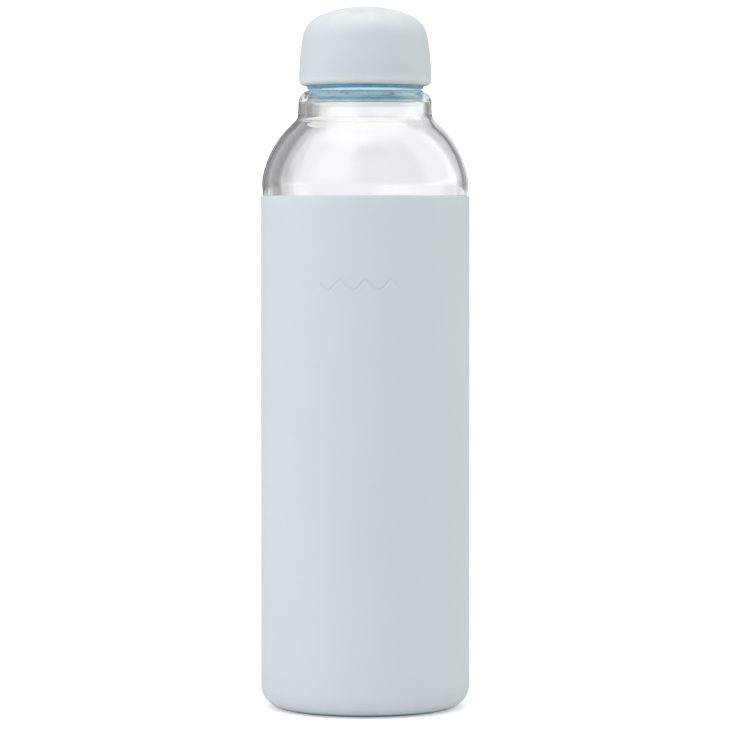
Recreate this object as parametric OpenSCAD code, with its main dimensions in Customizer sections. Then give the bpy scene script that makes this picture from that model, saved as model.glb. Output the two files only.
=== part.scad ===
// Glass water bottle in a silicone sleeve, with a domed screw cap.
// The origin is the centre of the base, on the surface that the bottle stands on, and +Z is up.

/* [Sleeve] */
// Outside diameter of the sleeve
sleeve_d = 72; // [70:0.5:75]
// Height of the sleeve's top edge
sleeve_h = 176.2; // [174:0.1:178]
// Thickness of the sleeve's wall and floor
sleeve_wall = 1.5; // [1.3:0.1:1.7]
// Outside radius of the sleeve's bottom corner
sleeve_corner_r = 7.7; // [6.5:0.1:8.5]
// Depth of the recess in the middle of the sleeve's underside
foot_recess = 0.5; // [0.3:0.1:0.8]

/* [Glass] */
// Thickness of the blown wall
glass_wall = 2.1; // [1.8:0.1:2.3]
// Thickness of the glass floor
glass_floor = 4.8; // [4.2:0.1:6]
// Height of the widest part of the shoulder
shoulder_h = 180.5; // [179.5:0.5:183]
// How far the shoulder swells out past the wall that the sleeve covers
shoulder_swell = 1; // [0.6:0.1:1.2]
// Outside diameter of the collar at its foot
collar_d = 46.4; // [45.8:0.1:47.4]
// Height of the collar
collar_h = 9.7; // [9.2:0.1:11]

/* [Neck] */
// Outside diameter of the neck between its thread ridges
neck_d = 34.8; // [34.2:0.1:35]
// Diameter of the bore through the neck
bore_d = 30.4; // [29:0.1:30.8]
// Height of the neck above the collar
neck_h = 17; // [16.5:0.1:18]
// Number of thread starts
thread_starts = 3; // [2:1:3]
// Rise of the thread in one turn
thread_lead = 12; // [11:0.5:13]
// How far a thread ridge stands out
thread_ridge_h = 1.2; // [1:0.1:1.2]
// Angle that each thread ridge runs through
thread_wrap = 165; // [130:5:175]

/* [Cap] */
// Largest outside diameter of the cap
cap_d = 45.5; // [45:0.1:46.6]
// Height of the cap's shell
cap_h = 27.3; // [26.8:0.1:29]
// Radius of the arc across the top of the dome
dome_arc_r = 40.6; // [38:0.2:44]
// Radius of the round edge between the dome and the side
dome_edge_r = 9.5; // [8:0.5:10.5]
// Height of liner that shows below the shell
liner_show = 1; // [0.6:0.1:1.6]
// Thickness of the seal ring
gasket_h = 1.4; // [1.2:0.1:1.8]

/* [Hidden] */
$fn = 128;
eps = 0.01;

// Glass under the sleeve
sleeve_r = sleeve_d / 2;
wall_r = sleeve_r - sleeve_wall;
corner_centre = [sleeve_r - sleeve_corner_r, sleeve_corner_r];
base_z = sleeve_wall;
punt_r = 24;
punt_h = 2;
floor_z = base_z + glass_floor;
floor_crown_h = 0.8;
floor_corner_r = 6.5;
swell_start_h = shoulder_h - 10.5;

// The shoulder is two arcs, each tangent to the last, and then a cone up to the collar
shoulder_r = wall_r + shoulder_swell;
low_arc_r = 13.7;
low_arc_end = 12;
high_arc_r = 33.2;
high_arc_end = 45.5;
low_arc_centre = [shoulder_r - low_arc_r, shoulder_h];
high_arc_centre = low_arc_centre - (high_arc_r - low_arc_r) * [cos(low_arc_end), sin(low_arc_end)];

// Collar, a little narrower at its top
collar_r = collar_d / 2;
collar_taper = 0.35;
collar_top_r = collar_r - collar_taper;
collar_edge_r = 4.5;
collar_foot_z = cone_z(high_arc_r, collar_r);
collar_top_z = collar_foot_z + collar_h;
inner_foot_r = collar_r - 2.2;
inner_foot_z = cone_z(high_arc_r - glass_wall, inner_foot_r);
throat_r = collar_r - 2.4;
throat_low_z = collar_top_z - 5;
throat_high_z = collar_top_z + 0.8;

// Neck
neck_r = neck_d / 2;
bore_r = bore_d / 2;
lip_z = collar_top_z + neck_h;
lip_r = (neck_r - bore_r) / 2;

// Thread ridges have a trapezium section and sink back into the wall at both ends
thread_pitch = thread_lead / thread_starts;
ridge_root_w = 2.6;
ridge_crest_w = 0.9;
ridge_sink = 0.5;
ridge_end_depth = 0.2;
ridge_fade = 22;
ridge_step = 5.5;
ridge_rise = thread_lead * thread_wrap / 360;
neck_ridge_z = lip_z - 5.5 - ridge_rise;

// Cap
running_gap = 0.3;
cap_r = cap_d / 2;
liner_z = collar_top_z + 0.4;
shell_z = liner_z + liner_show;
cap_top_z = shell_z + cap_h;
liner_inner_r = neck_r + thread_ridge_h + running_gap;
liner_wall = 1.1;
liner_outer_r = liner_inner_r + liner_wall;
liner_edge_r = 0.4;
cap_ridge_z = neck_ridge_z - 1.5 * thread_pitch + thread_lead / 4;
cap_ridge_turn = 90;

// Seal ring, held in its pocket by a bead round the liner
gasket_z = lip_z + 0.1;
gasket_inner_r = bore_r - 1.6;
gasket_outer_r = neck_r + 1.2;
pocket_r = gasket_outer_r + 0.2;
pocket_top_z = gasket_z + gasket_h + 0.1;
bead_r = gasket_outer_r - 0.4;
bead_low_z = gasket_z - 1.3;
bead_high_z = gasket_z - 0.2;
liner_top_z = pocket_top_z + 1.5;

// Outline of the shell: a nearly straight side arc, the round edge and the dome, all tangent
shell_lip_r = 1.8;
shell_widest_h = 2.4;
side_arc_r = 85;
side_arc_centre = [cap_r - side_arc_r, shell_z + shell_widest_h];
dome_centre = [0, cap_top_z - dome_arc_r];
edge_centre = meet(side_arc_centre, side_arc_r - dome_edge_r, dome_centre, dome_arc_r - dome_edge_r);
side_end = bearing(edge_centre - side_arc_centre);
dome_start = bearing(edge_centre - dome_centre);
hollow_r = liner_outer_r - 2;
hollow_h = cap_top_z - liner_top_z - 2.4;

// Height at which the cone above a shoulder's high arc of radius arc_r comes in to radius r.
function cone_z(arc_r, r) =
    let (top = high_arc_centre + arc_r * [cos(high_arc_end), sin(high_arc_end)])
    top[1] + (top[0] - r) / tan(high_arc_end);

// Direction of a vector, in degrees.
function bearing(v) = atan2(v[1], v[0]);

// The upper point at distance d1 from c1 and d2 from c2.
function meet(c1, d1, c2, d2) =
    let (
        span = norm(c2 - c1),
        along = (c2 - c1) / span,
        up = [-along[1], along[0]],
        a = (d1 * d1 - d2 * d2 + span * span) / (2 * span)
    )
    c1 + a * along + sqrt(d1 * d1 - a * a) * up;

// Points along an arc, from angle a0 to angle a1.
function arc(centre, r, a0, a1, steps) =
    [for (i = [0 : steps]) let (a = a0 + (a1 - a0) * i / steps) centre + r * [cos(a), sin(a)]];

// Points of an S-curve that leaves p and reaches q straight up or down.
function ease(p, q, steps) =
    [for (i = [0 : steps]) [p[0] + (q[0] - p[0]) * (1 - cos(180 * i / steps)) / 2, p[1] + (q[1] - p[1]) * i / steps]];

// Points of a shallow dome of height rise over radius r, from the axis out to its foot at height z.
function crown(rise, r, z, steps) =
    let (sphere_r = (r * r + rise * rise) / (2 * rise))
    arc([0, z + rise - sphere_r], sphere_r, 90, 90 - asin(r / sphere_r), steps);

// A list of points from last to first.
function reversed(points) = [for (i = [len(points) - 1 : -1 : 0]) points[i]];

// Outside of the glass from its bottom corner to the foot of the collar.
function body_outline() = concat(
    arc(corner_centre, sleeve_corner_r - sleeve_wall, -90, 0, 8),
    ease([wall_r, swell_start_h], [shoulder_r, shoulder_h], 8),
    arc(low_arc_centre, low_arc_r, 0, low_arc_end, 4),
    arc(high_arc_centre, high_arc_r, low_arc_end, high_arc_end, 5),
    [[collar_r, collar_foot_z]]
);

// Outside of the glass from the collar up and over the lip.
function neck_outline() = concat(
    arc([collar_top_r - collar_edge_r, collar_top_z - collar_edge_r], collar_edge_r, 0, 90, 6),
    [[neck_r, collar_top_z]],
    arc([neck_r - lip_r, lip_z - lip_r], lip_r, 0, 180, 10)
);

// Inside of the glass, from the middle of its floor up to the bore.
function inside_outline() = concat(
    crown(floor_crown_h, wall_r - glass_wall - floor_corner_r, floor_z, 4),
    arc([wall_r - glass_wall - floor_corner_r, floor_z + floor_corner_r], floor_corner_r, -90, 0, 8),
    ease([wall_r - glass_wall, swell_start_h], [shoulder_r - glass_wall, shoulder_h], 8),
    arc(low_arc_centre, low_arc_r - glass_wall, 0, low_arc_end, 4),
    arc(high_arc_centre, high_arc_r - glass_wall, low_arc_end, high_arc_end, 5),
    [[inner_foot_r, inner_foot_z]],
    ease([throat_r, throat_low_z], [bore_r, throat_high_z], 8)
);

// One thread ridge on a wall of radius r. side is 1 for a ridge that stands outwards, -1 for inwards.
module thread_ridge(r, side) {
    rows = ceil(thread_wrap / ridge_step);
    last = 4 * rows;
    points = [
        for (i = [0 : rows])
            let (
                a = thread_wrap * i / rows,
                fade = min(1, min(a, thread_wrap - a) / ridge_fade),
                crest = (thread_ridge_h + ridge_end_depth) * sin(90 * fade) - ridge_end_depth,
                z = thread_lead * a / 360
            )
            for (p = [
                [-ridge_sink, -ridge_root_w / 2],
                [crest, -ridge_crest_w / 2],
                [crest, ridge_crest_w / 2],
                [-ridge_sink, ridge_root_w / 2]
            ])
                [(r + side * p[0]) * cos(a), (r + side * p[0]) * sin(a), z + side * p[1]]
    ];
    sides = [
        for (i = [0 : rows - 1], j = [0 : 3])
            let (k = 4 * i, next = (j + 1) % 4)
            each [[k + j, k + next, k + 4 + next], [k + j, k + 4 + next, k + 4 + j]]
    ];
    ends = [[2, 1, 0], [3, 2, 0], [last, last + 1, last + 2], [last, last + 2, last + 3]];
    polyhedron(points, concat(sides, ends));
}

// All the starts of one thread, the first ridge beginning at height z and angle turn.
module thread(r, side, z, turn) {
    for (i = [0 : thread_starts - 1])
        translate([0, 0, z]) rotate(turn + 360 * i / thread_starts) thread_ridge(r, side);
}

// Blown glass bottle with its threaded neck.
module glass_bottle() {
    color("azure", 0.35)
    union() {
        rotate_extrude()
            polygon(concat(
                crown(punt_h, punt_r, base_z, 4),
                body_outline(),
                neck_outline(),
                reversed(inside_outline())
            ));
        thread(neck_r, 1, neck_ridge_z, 0);
    }
}

// Silicone sleeve, moulded to the outside of the glass.
module silicone_sleeve() {
    rim_r = 0.45;
    foot_inner_r = 22.5;
    color("lightsteelblue")
    difference() {
        rotate_extrude()
            polygon(concat(
                [[0, foot_recess], [foot_inner_r, foot_recess], [foot_inner_r + foot_recess, 0]],
                arc(corner_centre, sleeve_corner_r, -90, 0, 10),
                arc([sleeve_r - rim_r, sleeve_h - rim_r], rim_r, 0, 90, 4),
                [[0, sleeve_h]]
            ));
        rotate_extrude()
            polygon(concat([[0, base_z]], body_outline(), [[0, collar_foot_z]]));
    }
}

// Domed outer shell of the cap.
module cap_shell() {
    color("lightsteelblue")
    rotate_extrude()
        polygon(concat(
            [[liner_outer_r, shell_z]],
            arc([cap_r - shell_lip_r, shell_z + shell_lip_r], shell_lip_r, -90, 0, 6),
            arc(side_arc_centre, side_arc_r, 0, side_end, 4),
            arc(edge_centre, dome_edge_r, side_end, dome_start, 10),
            arc(dome_centre, dome_arc_r, dome_start, 90, 5),
            crown(hollow_h, hollow_r, liner_top_z, 8),
            [[liner_outer_r, liner_top_z]]
        ));
}

// Threaded insert that is pressed into the shell.
module cap_liner() {
    color("steelblue", 0.7)
    union() {
        rotate_extrude()
            polygon(concat(
                [[liner_inner_r, liner_z]],
                arc([liner_outer_r - liner_edge_r, liner_z + liner_edge_r], liner_edge_r, -90, 0, 4),
                [
                    [liner_outer_r, liner_top_z],
                    [0, liner_top_z],
                    [0, pocket_top_z],
                    [pocket_r, pocket_top_z],
                    [pocket_r, bead_high_z],
                    [bead_r, bead_high_z],
                    [bead_r, bead_low_z],
                    [liner_inner_r, bead_low_z]
                ]
            ));
        thread(liner_inner_r, -1, cap_ridge_z, cap_ridge_turn);
    }
}

// Soft seal ring between the liner's ceiling and the glass lip.
module cap_gasket() {
    color("whitesmoke")
    translate([0, 0, gasket_z])
    difference() {
        cylinder(h = gasket_h, r = gasket_outer_r);
        translate([0, 0, -eps]) cylinder(h = gasket_h + 2 * eps, r = gasket_inner_r);
    }
}

glass_bottle();
silicone_sleeve();
cap_shell();
cap_liner();
cap_gasket();
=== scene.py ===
"""The looks of a glass water bottle in a silicone sleeve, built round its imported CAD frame.

Outlines are lists of (radius, height, lift) in millimetres, turned round the bottle's axis. lift is None or a
function of the angle, radius and height that gives how far the surface stands out there.
"""

import math

import bmesh
import bpy
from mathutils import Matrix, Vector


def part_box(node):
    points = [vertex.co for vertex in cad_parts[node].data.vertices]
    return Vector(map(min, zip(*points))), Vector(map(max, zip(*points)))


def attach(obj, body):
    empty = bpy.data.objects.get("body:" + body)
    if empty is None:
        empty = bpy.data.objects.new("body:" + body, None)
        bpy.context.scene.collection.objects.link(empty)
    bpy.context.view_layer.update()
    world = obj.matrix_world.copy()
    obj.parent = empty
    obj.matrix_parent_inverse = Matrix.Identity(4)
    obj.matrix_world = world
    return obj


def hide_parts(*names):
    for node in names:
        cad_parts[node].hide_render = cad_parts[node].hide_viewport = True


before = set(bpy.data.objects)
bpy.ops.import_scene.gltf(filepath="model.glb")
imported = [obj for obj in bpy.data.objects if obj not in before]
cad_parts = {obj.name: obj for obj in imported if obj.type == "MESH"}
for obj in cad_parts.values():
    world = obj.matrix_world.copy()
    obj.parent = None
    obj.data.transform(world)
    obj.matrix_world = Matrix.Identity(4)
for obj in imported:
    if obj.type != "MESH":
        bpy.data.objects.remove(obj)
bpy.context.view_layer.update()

MM = 0.001
COLUMNS = 192


def round_box(node):
    """Outside radius, lowest and highest point of a round CAD node, in millimetres."""
    low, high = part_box(node)
    return high.x / MM, low.z / MM, high.z / MM


SLEEVE_R, _, SLEEVE_TOP = round_box("silicone_sleeve")
SHOULDER_R, BASE_Z, LIP_Z = round_box("glass_bottle")
CAP_R, SHELL_Z, CAP_TOP = round_box("cap_shell")
LINER_R, LINER_Z, LINER_TOP = round_box("cap_liner")
GASKET_R, GASKET_Z, GASKET_TOP = round_box("cap_gasket")

# Sleeve
SLEEVE_WALL = BASE_Z
SLEEVE_CORNER_R = 7.7
SLEEVE_RIM_R = 0.45
PARTING_LINE_H = 0.03
PARTING_LINE_W = 0.25
FOOT_RECESS = 0.5
FOOT_INNER_R = 22.5
FIT_GAP = 0.03

# Wave pressed into the front of the sleeve
MARK_TURN = -93.0
MARK_Z = 146.0
MARK_SPAN = 26.0
MARK_WAVES = 3
MARK_AMPLITUDE = 1.5
MARK_STROKE = 0.85
MARK_MARGIN = 1.4
MARK_DEPTH = 0.24
MARK_STEP = 0.17

# Glass
GLASS_WALL = 2.1
FLOOR_Z = BASE_Z + 4.8
FLOOR_CROWN = 0.8
FLOOR_CORNER_R = 6.5
PUNT_R = 24.0
PUNT_H = 2.0
WALL_R = SLEEVE_R - SLEEVE_WALL
SHOULDER_Z = 180.5
SWELL_START_Z = SHOULDER_Z - 10.5
LOW_ARC_R, LOW_ARC_END = 13.7, 12.0
HIGH_ARC_R, HIGH_ARC_END = 33.2, 45.5
COLLAR_R = 23.2
COLLAR_TAPER = 0.35
COLLAR_EDGE_R = 4.5
COLLAR_FOOT_CURVE = 3.2
INNER_FOOT_R = COLLAR_R - 2.2
INNER_FOOT_CURVE = 7.0
THROAT_R = COLLAR_R - 2.4
THROAT_DROP = 5.0
THROAT_RISE = 0.8
NECK_R = 17.4
NECK_FOOT_CURVE = 0.9
BORE_R = 15.2
COLLAR_TOP = LINER_Z - 0.4
SEAM_H = 0.05
SEAM_W = 0.5

# Thread
STARTS = 3
LEAD = 12.0
RIDGE_H = 1.15
RIDGE_W = 2.2
RIDGE_FLAT = 0.6
WRAP = 165.0
FADE = 22.0
NECK_RIDGE_Z = LIP_Z - 5.5 - LEAD * WRAP / 360
CAP_RIDGE_Z = NECK_RIDGE_Z - 3.0
CAP_RIDGE_TURN = 90.0
THREAD_STEP = 0.2

# Cap
SHELL_LIP_R = 1.8
SHELL_WIDEST_H = 2.4
SIDE_ARC_R = 85.0
DOME_ARC_R = 40.6
DOME_EDGE_R = 9.5
LINER_INNER_R = LINER_R - 1.1
LINER_EDGE_Z = LINER_Z - 0.25
SHELL_INNER_R = LINER_R
POCKET_R = GASKET_R + 0.2
POCKET_TOP = GASKET_TOP + 0.1
BEAD_R = GASKET_R - 0.4
BEAD_LOW, BEAD_HIGH = GASKET_Z - 1.3, GASKET_Z - 0.2
GASKET_INNER_R = BORE_R - 1.6


# ---------------------------------------------------------------- outlines


def cos(degrees):
    return math.cos(math.radians(degrees))


def sin(degrees):
    return math.sin(math.radians(degrees))


def smooth(x):
    """0 below 0, 1 above 1, and an S-curve between."""
    x = min(1.0, max(0.0, x))
    return x * x * (3 - 2 * x)


def arc(centre, r, start, end, steps):
    """Points along an arc about centre, from angle start to angle end."""
    turns = [start + (end - start) * i / steps for i in range(steps + 1)]
    return [(centre[0] + r * cos(a), centre[1] + r * sin(a)) for a in turns]


def ease(p, q, steps):
    """Points of an S-curve that leaves p and reaches q straight up or down."""
    parts = [i / steps for i in range(steps + 1)]
    return [(p[0] + (q[0] - p[0]) * (1 - cos(180 * t)) / 2, p[1] + (q[1] - p[1]) * t) for t in parts]


def crown(rise, r, z, steps):
    """Points of a shallow dome of height rise over radius r, from the axis out to its foot at height z."""
    ball_r = (r * r + rise * rise) / (2 * rise)
    return arc((0.0, z + rise - ball_r), ball_r, 90, 90 - math.degrees(math.asin(r / ball_r)), steps)


def rounded(points, radii, steps=6):
    """The path through points with each inner corner turned into an arc of the radius given for it."""
    path = [points[0]]
    for before, corner, after, r in zip(points, points[1:], points[2:], radii):
        into = (corner[0] - before[0], corner[1] - before[1])
        away = (after[0] - corner[0], after[1] - corner[1])
        turn = math.atan2(into[0] * away[1] - into[1] * away[0], into[0] * away[0] + into[1] * away[1])
        if r == 0 or abs(turn) < 1e-6:
            path.append(corner)
            continue
        side = math.copysign(1.0, turn)
        length = math.hypot(*into)
        ahead = (into[0] / length, into[1] / length)
        back = r * math.tan(abs(turn) / 2)
        start = (corner[0] - ahead[0] * back, corner[1] - ahead[1] * back)
        centre = (start[0] - side * ahead[1] * r, start[1] + side * ahead[0] * r)
        first = math.degrees(math.atan2(start[1] - centre[1], start[0] - centre[0]))
        path += arc(centre, r, first, first + math.degrees(turn), steps)
    return path + [points[-1]]


def outline(points, step, lift=None):
    """Outline points no further than step apart, each with its lift."""
    path = [points[0]]
    for p, q in zip(points, points[1:]):
        gap = math.dist(p, q)
        if gap < 1e-6:
            continue
        parts = math.ceil(gap / step)
        for i in range(1, parts + 1):
            path.append((p[0] + (q[0] - p[0]) * i / parts, p[1] + (q[1] - p[1]) * i / parts))
    return [(r, z, lift) for r, z in path]


def even_columns():
    return [360.0 * i / COLUMNS for i in range(COLUMNS)]


def lathe(name, stretches, columns, ring=False):
    """A closed surface of revolution. stretches are outlines end to end; ring joins the last to the first."""
    rows = []
    for r, z, lift in (p for stretch in stretches for p in stretch):
        if not rows or math.dist((r, z), rows[-1][:2]) > 1e-4:
            rows.append((r, z, lift))
    if ring and math.dist(rows[0][:2], rows[-1][:2]) < 1e-4:
        rows.pop()
    mesh = bmesh.new()
    made = []
    for r, z, lift in rows:
        if r < 1e-4:
            made.append([mesh.verts.new((0.0, 0.0, z * MM))] * len(columns))
            continue
        loop = []
        for a in columns:
            out = r + (lift(a, r, z) if lift else 0.0)
            loop.append(mesh.verts.new((out * cos(a) * MM, out * sin(a) * MM, z * MM)))
        made.append(loop)
    pairs = list(zip(made, made[1:])) + ([(made[-1], made[0])] if ring else [])
    for low, high in pairs:
        for i in range(len(columns)):
            j = (i + 1) % len(columns)
            corners = [low[i], low[j], high[j], high[i]]
            mesh.faces.new([v for k, v in enumerate(corners) if v is not corners[k - 1]])
    bmesh.ops.recalc_face_normals(mesh, faces=mesh.faces)
    data = bpy.data.meshes.new(name)
    mesh.to_mesh(data)
    mesh.free()
    data.shade_smooth()
    piece = bpy.data.objects.new(name, data)
    bpy.context.scene.collection.objects.link(piece)
    return piece


def place(piece, body, node, slot, material):
    """Rides a finished piece on its body, in place of its CAD node."""
    piece.data.materials.append(material)
    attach(piece, body)
    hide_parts(node)


# ---------------------------------------------------------------- shared shapes

LOW_ARC_CENTRE = (SHOULDER_R - LOW_ARC_R, SHOULDER_Z)
HIGH_ARC_CENTRE = (
    LOW_ARC_CENTRE[0] - (HIGH_ARC_R - LOW_ARC_R) * cos(LOW_ARC_END),
    LOW_ARC_CENTRE[1] - (HIGH_ARC_R - LOW_ARC_R) * sin(LOW_ARC_END),
)


def cone_z(arc_r, r):
    """Height at which the cone above a shoulder's high arc of radius arc_r comes in to radius r."""
    top_r = HIGH_ARC_CENTRE[0] + arc_r * cos(HIGH_ARC_END)
    top_z = HIGH_ARC_CENTRE[1] + arc_r * sin(HIGH_ARC_END)
    return top_z + (top_r - r) / math.tan(math.radians(HIGH_ARC_END))


def shoulder(inset):
    """The shoulder's outline, moved in by inset, from under the sleeve's rim to the end of its high arc."""
    return (
        ease((WALL_R - inset, SWELL_START_Z), (SHOULDER_R - inset, SHOULDER_Z), 14)
        + arc(LOW_ARC_CENTRE, LOW_ARC_R - inset, 0, LOW_ARC_END, 6)
        + arc(HIGH_ARC_CENTRE, HIGH_ARC_R - inset, LOW_ARC_END, HIGH_ARC_END, 18)
    )


def corner(inset):
    """The bottom corner's outline, moved in by inset."""
    centre = (SLEEVE_R - SLEEVE_CORNER_R, SLEEVE_CORNER_R)
    return arc(centre, SLEEVE_CORNER_R - inset, -90, 0, 16)


def ridge(angle, z, first_z, turn):
    """How far, from 0 to 1, the thread ridges stand out at an angle and height."""
    best = 0.0
    for start in range(STARTS):
        along = (angle - turn - 360 * start / STARTS) % 360
        if along > WRAP:
            continue
        off = abs(z - first_z - LEAD * along / 360)
        flank = (RIDGE_W / 2 - off) / (RIDGE_W / 2 - RIDGE_FLAT / 2)
        best = max(best, smooth(flank) * smooth(min(along, WRAP - along) / FADE))
    return best


# ---------------------------------------------------------------- pieces


def make_glass():
    """Blown glass: a thick floor, a slightly uneven wall, a collar, and a threaded neck with a round lip."""

    def seam(angle, r, z):
        off = min(angle % 180, 180 - angle % 180)
        return SEAM_H * (smooth(1 - r * math.radians(off) / SEAM_W) - 1)

    def thread(angle, r, z):
        return seam(angle, r, z) + RIDGE_H * ridge(angle, z, NECK_RIDGE_Z, 0)

    def flow(angle, r, z):
        waves = 0.06 * sin(2 * angle + 2.1 * z)
        waves += 0.04 * sin(3 * angle - 3.4 * z + 40)
        waves += 0.03 * sin(5 * angle + 5 * z)
        return waves * smooth((z - FLOOR_Z) / 12) * smooth((LIP_Z - 8 - z) / 8)

    lip_r = (NECK_R - BORE_R) / 2
    foot = (COLLAR_R, cone_z(HIGH_ARC_R, COLLAR_R))
    top = (COLLAR_R - COLLAR_TAPER, COLLAR_TOP)
    thread_foot = (NECK_R, NECK_RIDGE_Z - 2)
    collar = rounded(
        [shoulder(0)[-1], foot, top, (NECK_R, COLLAR_TOP), thread_foot],
        [COLLAR_FOOT_CURVE, COLLAR_EDGE_R, NECK_FOOT_CURVE],
        steps=12,
    )
    inner_foot = (INNER_FOOT_R, cone_z(HIGH_ARC_R - GLASS_WALL, INNER_FOOT_R))
    throat = ease((THROAT_R, COLLAR_TOP - THROAT_DROP), (BORE_R, COLLAR_TOP + THROAT_RISE), 18)
    inner_collar = rounded([shoulder(GLASS_WALL)[-1], inner_foot, throat[0]], [INNER_FOOT_CURVE], steps=16)
    floor_edge_r = WALL_R - GLASS_WALL - FLOOR_CORNER_R
    inside = (
        crown(FLOOR_CROWN, floor_edge_r, FLOOR_Z, 8)
        + arc((floor_edge_r, FLOOR_Z + FLOOR_CORNER_R), FLOOR_CORNER_R, -90, 0, 12)
        + shoulder(GLASS_WALL)
        + inner_collar
        + throat
        + [(BORE_R, LIP_Z - lip_r)]
    )
    stretches = [
        outline(crown(PUNT_H, PUNT_R, BASE_Z, 10), 4),
        outline(corner(SLEEVE_WALL), 4),
        outline(corner(SLEEVE_WALL)[-1:] + shoulder(0), 4, seam),
        outline(collar, 1.2, seam),
        outline([thread_foot, (NECK_R, LIP_Z - lip_r)], THREAD_STEP, thread),
        outline(arc((NECK_R - lip_r, LIP_Z - lip_r), lip_r, 0, 180, 14), 1),
        outline(inside[::-1], 3, flow),
    ]
    return lathe("bottle_glass", stretches, even_columns())


def wave_depth(along, z):
    """How deep the pressed wave is, from 0 to 1, at a height and a distance along it from its middle."""
    length = MARK_SPAN / MARK_WAVES
    nearest = min(MARK_SPAN / 2, max(-MARK_SPAN / 2, along))
    phase = 360 * nearest / length
    slope = 2 * math.pi * MARK_AMPLITUDE / length * cos(phase)
    rise = z - MARK_Z - MARK_AMPLITUDE * sin(phase)
    off = math.hypot(rise / math.hypot(1, slope), along - nearest)
    return smooth((MARK_STROKE / 2 - off) / (0.45 * MARK_STROKE) + 0.5)


def make_sleeve():
    """Stretched silicone sleeve with a soft rim, a rounded base, a standing ring and a pressed wave."""
    reach = MARK_SPAN / 2 + 1
    wide = math.degrees(reach / SLEEVE_R)
    fine = math.degrees(MARK_STEP / SLEEVE_R)
    count = math.ceil(2 * wide / fine)
    middle = [MARK_TURN - wide + 2 * wide * i / count for i in range(count + 1)]
    clear = wide + 0.8
    rest = [a - 360 for a in even_columns() if clear < (a - MARK_TURN) % 360 < 360 - clear]
    near_seams = [a + d for a in (-180, -360) for d in (-0.45, -0.2, 0.2, 0.45)]
    first = MARK_TURN + wide - 360
    columns = sorted(set(a if a > first else a + 360 for a in middle + rest + near_seams))

    def outside(angle, r, z):
        off = min(angle % 180, 180 - angle % 180)
        line = PARTING_LINE_H * (smooth(1 - math.radians(off) * r / PARTING_LINE_W) - 1)
        along = math.radians((angle - MARK_TURN + 180) % 360 - 180) * r
        if abs(along) > reach or abs(z - MARK_Z) > MARK_AMPLITUDE + MARK_MARGIN:
            return line
        return line - MARK_DEPTH * wave_depth(along, z)

    def settle(angle, r, z):
        sag = 0.05 * (1 + sin(3 * angle + 20)) / 2 * smooth((z - SLEEVE_TOP + 12) / 12)
        return outside(angle, r, z) - sag

    mark_low = (SLEEVE_R, MARK_Z - MARK_AMPLITUDE - MARK_MARGIN)
    mark_high = (SLEEVE_R, MARK_Z + MARK_AMPLITUDE + MARK_MARGIN)
    rim_centre = (SLEEVE_R - SLEEVE_RIM_R, SLEEVE_TOP - SLEEVE_RIM_R)
    glass_side = [p for p in shoulder(0) if p[1] < SLEEVE_TOP - 0.3]
    edge_r = glass_side[-1][0] + (SHOULDER_R - WALL_R) * 0.03
    inner_rim = [(edge_r + 0.3 + FIT_GAP, SLEEVE_TOP), (edge_r + 0.08 + FIT_GAP, SLEEVE_TOP - 0.1)]
    inside = inner_rim + [(r + FIT_GAP, z) for r, z in reversed(corner(SLEEVE_WALL) + glass_side)]
    underside = rounded(
        [(0, FOOT_RECESS), (FOOT_INNER_R, FOOT_RECESS), (FOOT_INNER_R + 0.6, 0), corner(0)[0]],
        [0.4, 0.3],
    )
    stretches = [
        outline(underside, 3),
        outline(corner(0), 3),
        outline([(SLEEVE_R, SLEEVE_CORNER_R), mark_low], 5, outside),
        outline([mark_low, mark_high], MARK_STEP, outside),
        outline([mark_high, (SLEEVE_R, rim_centre[1])], 3, settle),
        outline(arc(rim_centre, SLEEVE_RIM_R, 0, 90, 8), 1, settle),
        outline(inside + [(0, BASE_Z - FIT_GAP)], 5),
    ]
    return lathe("sleeve_skin", stretches, columns)


def meet(c1, d1, c2, d2):
    """The upper point at distance d1 from c1 and d2 from c2."""
    span = math.dist(c1, c2)
    along = ((c2[0] - c1[0]) / span, (c2[1] - c1[1]) / span)
    a = (d1 * d1 - d2 * d2 + span * span) / (2 * span)
    h = math.sqrt(d1 * d1 - a * a)
    return (c1[0] + a * along[0] - h * along[1], c1[1] + a * along[1] + h * along[0])


def bearing(start, end):
    return math.degrees(math.atan2(end[1] - start[1], end[0] - start[0]))


def make_shell():
    """Domed cap shell, hollow above the liner."""
    side_centre = (CAP_R - SIDE_ARC_R, SHELL_Z + SHELL_WIDEST_H)
    dome_centre = (0.0, CAP_TOP - DOME_ARC_R)
    edge_centre = meet(side_centre, SIDE_ARC_R - DOME_EDGE_R, dome_centre, DOME_ARC_R - DOME_EDGE_R)
    side_end, dome_start = bearing(side_centre, edge_centre), bearing(dome_centre, edge_centre)
    seat_r, seat_z = SHELL_INNER_R + FIT_GAP, LINER_TOP + FIT_GAP
    hollow = crown(CAP_TOP - LINER_TOP - 2.4, SHELL_INNER_R - 2, seat_z, 12)
    inside = rounded([hollow[-1], (seat_r, seat_z), (seat_r, SHELL_Z + 0.6)], [0.3])
    stretches = [
        outline(hollow, 2),
        outline(inside, 2),
        outline([inside[-1], (SHELL_INNER_R + 0.15, SHELL_Z + 0.12), (SHELL_INNER_R + 0.4, SHELL_Z)], 1),
        outline(arc((CAP_R - SHELL_LIP_R, SHELL_Z + SHELL_LIP_R), SHELL_LIP_R, -90, 0, 14), 1),
        outline(arc(side_centre, SIDE_ARC_R, 0, side_end, 10), 1.5),
        outline(arc(edge_centre, DOME_EDGE_R, side_end, dome_start, 20), 1.5),
        outline(arc(dome_centre, DOME_ARC_R, dome_start, 90, 14), 1.5),
    ]
    return lathe("cap_dome", stretches, even_columns())


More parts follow.
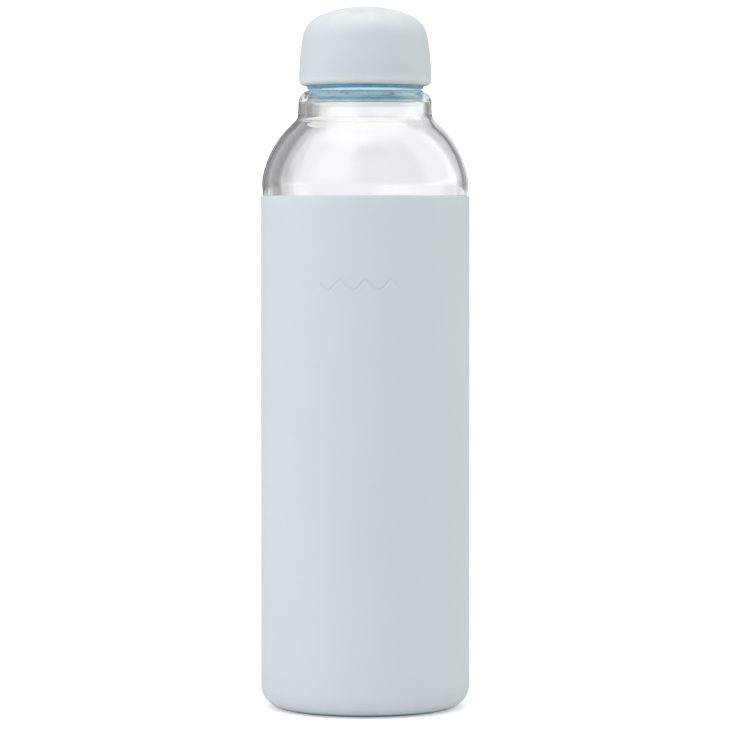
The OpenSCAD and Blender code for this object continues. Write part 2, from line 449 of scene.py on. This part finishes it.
def make_liner():
    """Threaded insert with a rounded lower edge and a bead that keeps the seal ring in its pocket."""

    def thread(angle, r, z):
        return -RIDGE_H * ridge(angle, z, CAP_RIDGE_Z, CAP_RIDGE_TURN)

    thread_end = (LINER_INNER_R, NECK_RIDGE_Z + 6)
    ceiling = rounded(
        [(0, POCKET_TOP), (POCKET_R, POCKET_TOP), (POCKET_R, BEAD_HIGH), (BEAD_R, (BEAD_LOW + BEAD_HIGH) / 2),
         (LINER_INNER_R, BEAD_LOW), thread_end],
        [0.25, 0.1, 0.25, 0.3],
    )
    inner_side, outer_side = (LINER_INNER_R, LINER_Z + 1), (LINER_R, LINER_Z + 1)
    edge = rounded(
        [inner_side, (LINER_INNER_R, LINER_EDGE_Z), (LINER_R, LINER_EDGE_Z), outer_side],
        [0.4, 0.5],
    )
    stretches = [
        outline(ceiling, 2),
        outline([thread_end, inner_side], THREAD_STEP, thread),
        outline(edge, 1),
        outline(rounded([outer_side, (LINER_R, LINER_TOP), (0, LINER_TOP)], [0.3]), 2),
    ]
    return lathe("cap_insert", stretches, even_columns())


def make_gasket():
    """Flat silicone ring with soft edges and the shallow groove that the lip presses into it."""
    middle = (NECK_R + BORE_R) / 2
    groove = [(middle - 0.9, GASKET_Z), (middle, GASKET_Z + 0.15), (middle + 0.9, GASKET_Z)]
    ring = rounded(
        [(middle, GASKET_TOP), (GASKET_INNER_R, GASKET_TOP), (GASKET_INNER_R, GASKET_Z), *groove,
         (GASKET_R, GASKET_Z), (GASKET_R, GASKET_TOP), (middle, GASKET_TOP)],
        [0.2, 0.2, 0.4, 1.2, 0.4, 0.2, 0.2],
    )
    return lathe("seal_ring", [outline(ring, 0.8)], even_columns(), ring=True)


# ---------------------------------------------------------------- materials


def node(tree, kind, inputs=None, **settings):
    """A new shader node with its settings, and with its inputs set to values or linked to sockets."""
    made = tree.nodes.new(kind)
    for name, value in settings.items():
        setattr(made, name, value)
    for name, value in (inputs or {}).items():
        if isinstance(value, bpy.types.NodeSocket):
            tree.links.new(value, made.inputs[name])
        else:
            made.inputs[name].default_value = value
    return made


def blank(name):
    """A new material with only its output, and its tree."""
    material = bpy.data.materials.new(name)
    material.use_nodes = True
    tree = material.node_tree
    tree.nodes.clear()
    return material, tree, tree.nodes.new("ShaderNodeOutputMaterial")


def math_node(tree, operation, *values):
    return node(tree, "ShaderNodeMath", dict(enumerate(values)), operation=operation).outputs[0]


def noise(tree, place, scale, detail=2.0, roughness=0.5):
    """Noise from 0 to 1 with features about 1 / scale metres apart."""
    inputs = {"Vector": place, "Scale": scale, "Detail": detail, "Roughness": roughness}
    return node(tree, "ShaderNodeTexNoise", inputs).outputs["Fac"]


def remap(tree, value, low, high, to_low=0.0, to_high=1.0):
    inputs = {"Value": value, "From Min": low, "From Max": high, "To Min": to_low, "To Max": to_high}
    return node(tree, "ShaderNodeMapRange", inputs, interpolation_type="SMOOTHSTEP").outputs["Result"]


def mix(tree, factor, a, b):
    """Colour a at factor 0 and b at factor 1."""
    made = tree.nodes.new("ShaderNodeMix")
    made.data_type = "RGBA"
    for socket, value in zip((made.inputs[0], made.inputs[6], made.inputs[7]), (factor, a, b)):
        if isinstance(value, bpy.types.NodeSocket):
            tree.links.new(value, socket)
        else:
            socket.default_value = value
    return made.outputs[2]


def axis_distance(tree, place):
    """Distance from the object's upright axis."""
    axes = node(tree, "ShaderNodeSeparateXYZ", {0: place}).outputs
    flat = node(tree, "ShaderNodeCombineXYZ", {"X": axes["X"], "Y": axes["Y"]}).outputs[0]
    return node(tree, "ShaderNodeVectorMath", {0: flat}, operation="LENGTH").outputs["Value"]


def silicone(name, light, dark, rubbed_and_lit_colour, edges, roughness=0.56, foot=None):
    """Matte moulded silicone: a fine eroded texture, faint tone drift, and paler polished bands of height,
    which are wear and, on the cap's dome top, a painted highlight.

    foot is an optional painted contact shadow, a darker ring at the base: its colour, the heights between
    which it fades out and its inside radius.
    """
    material, tree, out = blank(name)
    place = node(tree, "ShaderNodeTexCoord").outputs["Object"]
    height = node(tree, "ShaderNodeSeparateXYZ", {0: place}).outputs["Z"]
    drift = noise(tree, place, 45, 3)
    grain = noise(tree, place, 5200, 2)
    pores = noise(tree, place, 1500, 3, 0.6)
    colour = mix(tree, remap(tree, drift, 0.3, 0.7), dark, light)
    rubbed_and_lit_mask = None
    for low, high in edges:
        near = remap(tree, height, low * MM, high * MM)
        rubbed_and_lit_mask = near if rubbed_and_lit_mask is None else math_node(tree, "MAXIMUM", rubbed_and_lit_mask, near)
    patchy = math_node(tree, "MULTIPLY", rubbed_and_lit_mask, remap(tree, noise(tree, place, 160, 4), 0.3, 0.75, 0.5, 1.0))
    # paler colour in the bands: wear where hands rub it, and with the cap's much paler colour a painted
    # highlight on its dome top
    colour = mix(tree, math_node(tree, "MULTIPLY", patchy, 0.6), colour, rubbed_and_lit_colour)
    speck = remap(tree, noise(tree, place, 2600, 1), 0.73, 0.8, 0, 0.25)
    colour = mix(tree, speck, colour, rubbed_and_lit_colour)
    # painted contact shadow: a dark blue ring on the lowest part of the base's outer corner, where it meets
    # the floor
    if foot:
        contact_shadow_colour, full_z, end_z, inner_r = foot
        ring = remap(tree, axis_distance(tree, place), (inner_r - 0.4) * MM, (inner_r + 0.4) * MM)
        low = remap(tree, height, full_z * MM, end_z * MM, 1.0, 0.0)
        colour = mix(tree, math_node(tree, "MULTIPLY", ring, low), colour, contact_shadow_colour)
    rough = remap(tree, pores, 0.2, 0.8, roughness - 0.05, roughness + 0.05)
    rough = math_node(tree, "SUBTRACT", rough, math_node(tree, "MULTIPLY", patchy, 0.1))
    texture = math_node(tree, "ADD", math_node(tree, "MULTIPLY", grain, 0.5), pores)
    bump = node(tree, "ShaderNodeBump", {"Strength": 0.35, "Distance": 0.00006, "Height": texture})
    shader = node(
        tree,
        "ShaderNodeBsdfPrincipled",
        {
            "Base Color": colour,
            "Roughness": rough,
            "IOR": 1.41,
            "Specular IOR Level": 0.35,
            "Subsurface Weight": 0.12,
            "Subsurface Radius": (0.8, 1.0, 1.1),
            "Subsurface Scale": 0.001,
            "Sheen Weight": 0.08,
            "Sheen Roughness": 0.45,
            "Normal": bump.outputs[0],
        },
    )
    tree.links.new(shader.outputs[0], out.inputs["Surface"])
    return material


def clear_glass():
    """Clear soda-lime glass with very slight ripple. Shadow rays pass, so light reaches what is inside."""
    material, tree, out = blank("clear_glass")
    place = node(tree, "ShaderNodeTexCoord").outputs["Object"]
    stretched = node(tree, "ShaderNodeMapping", {"Vector": place, "Scale": (1.0, 1.0, 0.35)}).outputs[0]
    ripple = noise(tree, stretched, 90, 2)
    bump = node(tree, "ShaderNodeBump", {"Strength": 0.25, "Distance": 0.0003, "Height": ripple})
    smear = remap(tree, noise(tree, place, 70, 4), 0.55, 0.8, 0.0, 0.035)
    glass = node(
        tree,
        "ShaderNodeBsdfPrincipled",
        {
            "Base Color": (0.990, 0.994, 0.996, 1),
            "Roughness": smear,
            "IOR": 1.5,
            "Transmission Weight": 1.0,
            "Normal": bump.outputs[0],
        },
    )
    clear = node(tree, "ShaderNodeBsdfTransparent", {"Color": (0.93, 0.95, 0.95, 1)})
    path = node(tree, "ShaderNodeLightPath")
    choice = node(tree, "ShaderNodeMixShader", {0: path.outputs["Is Shadow Ray"]})
    tree.links.new(glass.outputs[0], choice.inputs[1])
    tree.links.new(clear.outputs[0], choice.inputs[2])
    tree.links.new(choice.outputs[0], out.inputs["Surface"])
    return material


def liner_plastic():
    """Translucent blue moulded plastic, glossy and deep outside. Painted light: the inner faces are a lighter
    blue and the whole piece glows faintly, to brighten the shaded inside of the cap.
    """
    material, tree, out = blank("liner_plastic")
    place = node(tree, "ShaderNodeTexCoord").outputs["Object"]
    radius = axis_distance(tree, place)
    flow = noise(tree, place, 220, 3, 0.6)
    deep = mix(tree, remap(tree, flow, 0.35, 0.7), (0.075, 0.27, 0.40, 1), (0.11, 0.34, 0.48, 1))
    # painted light: a lighter blue on the inner faces, which lie in the cap's shade
    painted_inner_light = mix(tree, remap(tree, flow, 0.3, 0.7), (0.47, 0.73, 0.82, 1), (0.55, 0.80, 0.88, 1))
    colour = mix(tree, remap(tree, radius, (LINER_R - 0.9) * MM, (LINER_R - 0.2) * MM), painted_inner_light, deep)
    rough = remap(tree, noise(tree, place, 900, 3), 0.3, 0.7, 0.10, 0.18)
    bump = node(tree, "ShaderNodeBump", {"Strength": 0.15, "Distance": 0.0001, "Height": flow})
    body = node(
        tree,
        "ShaderNodeBsdfPrincipled",
        {
            "Base Color": colour,
            "Roughness": rough,
            "IOR": 1.49,
            "Subsurface Weight": 0.5,
            "Subsurface Radius": (0.5, 0.9, 1.0),
            "Subsurface Scale": 0.002,
            # painted light: the plastic glows with its own colour, though it is no lamp
            "Emission Color": colour,
            "Emission Strength": 0.40,
            "Normal": bump.outputs[0],
        },
    )
    through = node(tree, "ShaderNodeBsdfTranslucent", {"Color": colour, "Normal": bump.outputs[0]})
    both = node(tree, "ShaderNodeMixShader", {0: 0.3, 1: body.outputs[0], 2: through.outputs[0]})
    tree.links.new(both.outputs[0], out.inputs["Surface"])
    return material


# ---------------------------------------------------------------- studio

ROOM_LIGHT = 0.92
BACKDROP_LIGHT = 1.6
FRONT_TINT = (0.99, 1.0, 1.03, 1)
SIDE_TINT = (0.99, 1.0, 0.94, 1)
CAMERA_PLACE = (-0.00007, -1.235, 0.1645)
CAMERA_TILT = 90 - 2.156
LENS_LENGTH = 176.8
SENSOR_WIDTH = 36.0


def make_floor():
    """A wide white floor with a faint glow, brighter to the camera, so that only the contact shadow shows."""
    mesh = bmesh.new()
    bmesh.ops.create_circle(mesh, cap_ends=True, segments=64, radius=6.0)
    data = bpy.data.meshes.new("floor")
    mesh.to_mesh(data)
    mesh.free()
    floor = bpy.data.objects.new("floor", data)
    floor.location.z = -0.0001
    bpy.context.scene.collection.objects.link(floor)
    material, tree, out = blank("studio_floor")
    path = node(tree, "ShaderNodeLightPath")
    white = node(tree, "ShaderNodeBsdfDiffuse", {"Color": (0.68, 0.68, 0.68, 1)})
    seen = math_node(tree, "MULTIPLY", path.outputs["Is Camera Ray"], 0.42)
    lift = math_node(tree, "MULTIPLY_ADD", path.outputs["Is Diffuse Ray"], 0.21, seen)
    glow = node(tree, "ShaderNodeEmission", {"Color": (1, 1, 1, 1), "Strength": lift})
    both = node(tree, "ShaderNodeAddShader", {0: white.outputs[0], 1: glow.outputs[0]})
    tree.links.new(both.outputs[0], out.inputs["Surface"])
    data.materials.append(material)


def make_world():
    """A white studio: the camera sees plain white, and everything else sees soft boxes and grey flags.

    ahead and behind are turns in degrees to the camera's right, from straight in front of the bottle and from
    straight behind it, and lift is degrees above the horizon. Each soft box or flag spans a range of turn and
    one of lift, fades over two soft angles, and adds its strength to the room's light.
    """
    world = bpy.data.worlds.new("studio")
    bpy.context.scene.world = world
    world.use_nodes = True
    tree = world.node_tree
    tree.nodes.clear()
    out = tree.nodes.new("ShaderNodeOutputWorld")
    axes = node(tree, "ShaderNodeSeparateXYZ", {0: node(tree, "ShaderNodeTexCoord").outputs["Generated"]})
    side, back, up = axes.outputs

    def degrees(socket):
        return math_node(tree, "MULTIPLY", socket, 180 / math.pi)

    lift = degrees(math_node(tree, "ARCSINE", up))
    behind = degrees(math_node(tree, "ARCTAN2", side, back))
    ahead = degrees(math_node(tree, "ARCTAN2", side, math_node(tree, "MULTIPLY", back, -1.0)))

    def window(value, low, high, soft):
        rise = remap(tree, value, low - soft, low + soft)
        fall = remap(tree, value, high - soft, high + soft, 1.0, 0.0)
        return math_node(tree, "MULTIPLY", rise, fall)

    def patch(turn, turn_range, lift_range, soft, strength):
        across = window(turn, *turn_range, soft[0])
        upright = window(lift, *lift_range, soft[1])
        return math_node(tree, "MULTIPLY", math_node(tree, "MULTIPLY", across, upright), strength)

    total = ROOM_LIGHT
    for light in (
        # soft boxes on the left and at the front left
        (ahead, (-108, -62), (-8, 60), (10, 16), 0.6),
        (ahead, (-62, -14), (0, 60), (10, 16), 1.25),
        # flags in front: under the top light, round the camera, and to the right
        (ahead, (-14, 34), (46, 66), (10, 9), -0.7),
        (ahead, (-6, 22), (-12, 30), (6, 8), -0.12),
        (ahead, (26, 74), (-30, 60), (12, 16), -0.2),
        # soft boxes at the top left, on the right, and all round the top
        (ahead, (-95, 5), (56, 78), (16, 12), 0.6),
        (ahead, (75, 125), (-8, 60), (10, 16), 0.95),
        (ahead, (-400, 400), (62, 110), (10, 12), 1.35),
        # flags behind, which draw the grey bands in the glass, and a weak soft box on the left
        (behind, (-66, -5.5), (-60, 60), (3, 8), -0.7),
        (behind, (-80, -24), (-60, 60), (5, 8), 0.15),
        (behind, (4, 24), (-60, 60), (5, 8), -0.1),
        (behind, (-7, 24), (9, 60), (5, 4), -0.14),
        (behind, (21, 55), (-60, 60), (2, 8), -0.62),
    ):
        total = math_node(tree, "ADD", total, patch(*light))
    path = node(tree, "ShaderNodeLightPath")
    backdrop = math_node(tree, "MULTIPLY", path.outputs["Is Camera Ray"], BACKDROP_LIGHT)
    strength = math_node(tree, "MAXIMUM", total, backdrop)
    side_light = math_node(tree, "ADD", window(ahead, -125, -52, 22), window(ahead, 24, 130, 22))
    colour = mix(tree, side_light, FRONT_TINT, SIDE_TINT)
    colour = mix(tree, path.outputs["Is Camera Ray"], colour, (1, 1, 1, 1))
    background = node(tree, "ShaderNodeBackground", {"Color": colour, "Strength": strength})
    tree.links.new(background.outputs[0], out.inputs["Surface"])


def make_camera():
    """A long lens a little above the middle of the bottle, looking slightly down."""
    data = bpy.data.cameras.new("camera")
    data.lens = LENS_LENGTH
    data.sensor_width = SENSOR_WIDTH
    data.clip_start = 0.05
    camera = bpy.data.objects.new("camera", data)
    camera.location = CAMERA_PLACE
    camera.rotation_euler = (math.radians(CAMERA_TILT), 0, 0)
    bpy.context.scene.collection.objects.link(camera)
    bpy.context.scene.camera = camera


# ---------------------------------------------------------------- scene

make_world()
make_floor()
make_camera()
bpy.context.scene.view_settings.view_transform = "Standard"
bpy.context.scene.cycles.max_bounces = 32
bpy.context.scene.cycles.transmission_bounces = 24
bpy.context.scene.cycles.diffuse_bounces = 6
bpy.context.scene.cycles.glossy_bounces = 28

sleeve_skin = silicone(
    "sleeve_silicone", (0.493, 0.538, 0.579, 1), (0.484, 0.529, 0.570, 1), (0.538, 0.575, 0.600, 1),
    [(SLEEVE_TOP - 6, SLEEVE_TOP), (9, 1)],
    # foot: a painted contact shadow, dark blue on the lowest 1.5 mm of the base's outer corner
    foot=((0.06, 0.15, 0.21, 1), 0.35, 1.5, SLEEVE_R - SLEEVE_CORNER_R),
)
# the cap's third colour is far paler than its silicone: on the dome top it is a painted highlight, at the lip
# it is wear
cap_skin = silicone(
    "cap_silicone", (0.487, 0.530, 0.568, 1), (0.478, 0.521, 0.560, 1), (0.67, 0.687, 0.69, 1),
    [(SHELL_Z + 4, SHELL_Z), (CAP_TOP - 12, CAP_TOP - 3)],
)
seal_skin = silicone(
    "gasket_silicone", (0.80, 0.82, 0.82, 1), (0.76, 0.78, 0.79, 1), (0.86, 0.87, 0.87, 1),
    [(GASKET_TOP, GASKET_Z)], roughness=0.42,
)
place(make_glass(), "bottle", "glass_bottle", "clear_glass", clear_glass())
place(make_sleeve(), "bottle", "silicone_sleeve", "sleeve_silicone", sleeve_skin)
place(make_shell(), "cap", "cap_shell", "cap_silicone", cap_skin)
place(make_liner(), "cap", "cap_liner", "liner_plastic", liner_plastic())
place(make_gasket(), "cap_seal", "cap_gasket", "gasket_silicone", seal_skin)
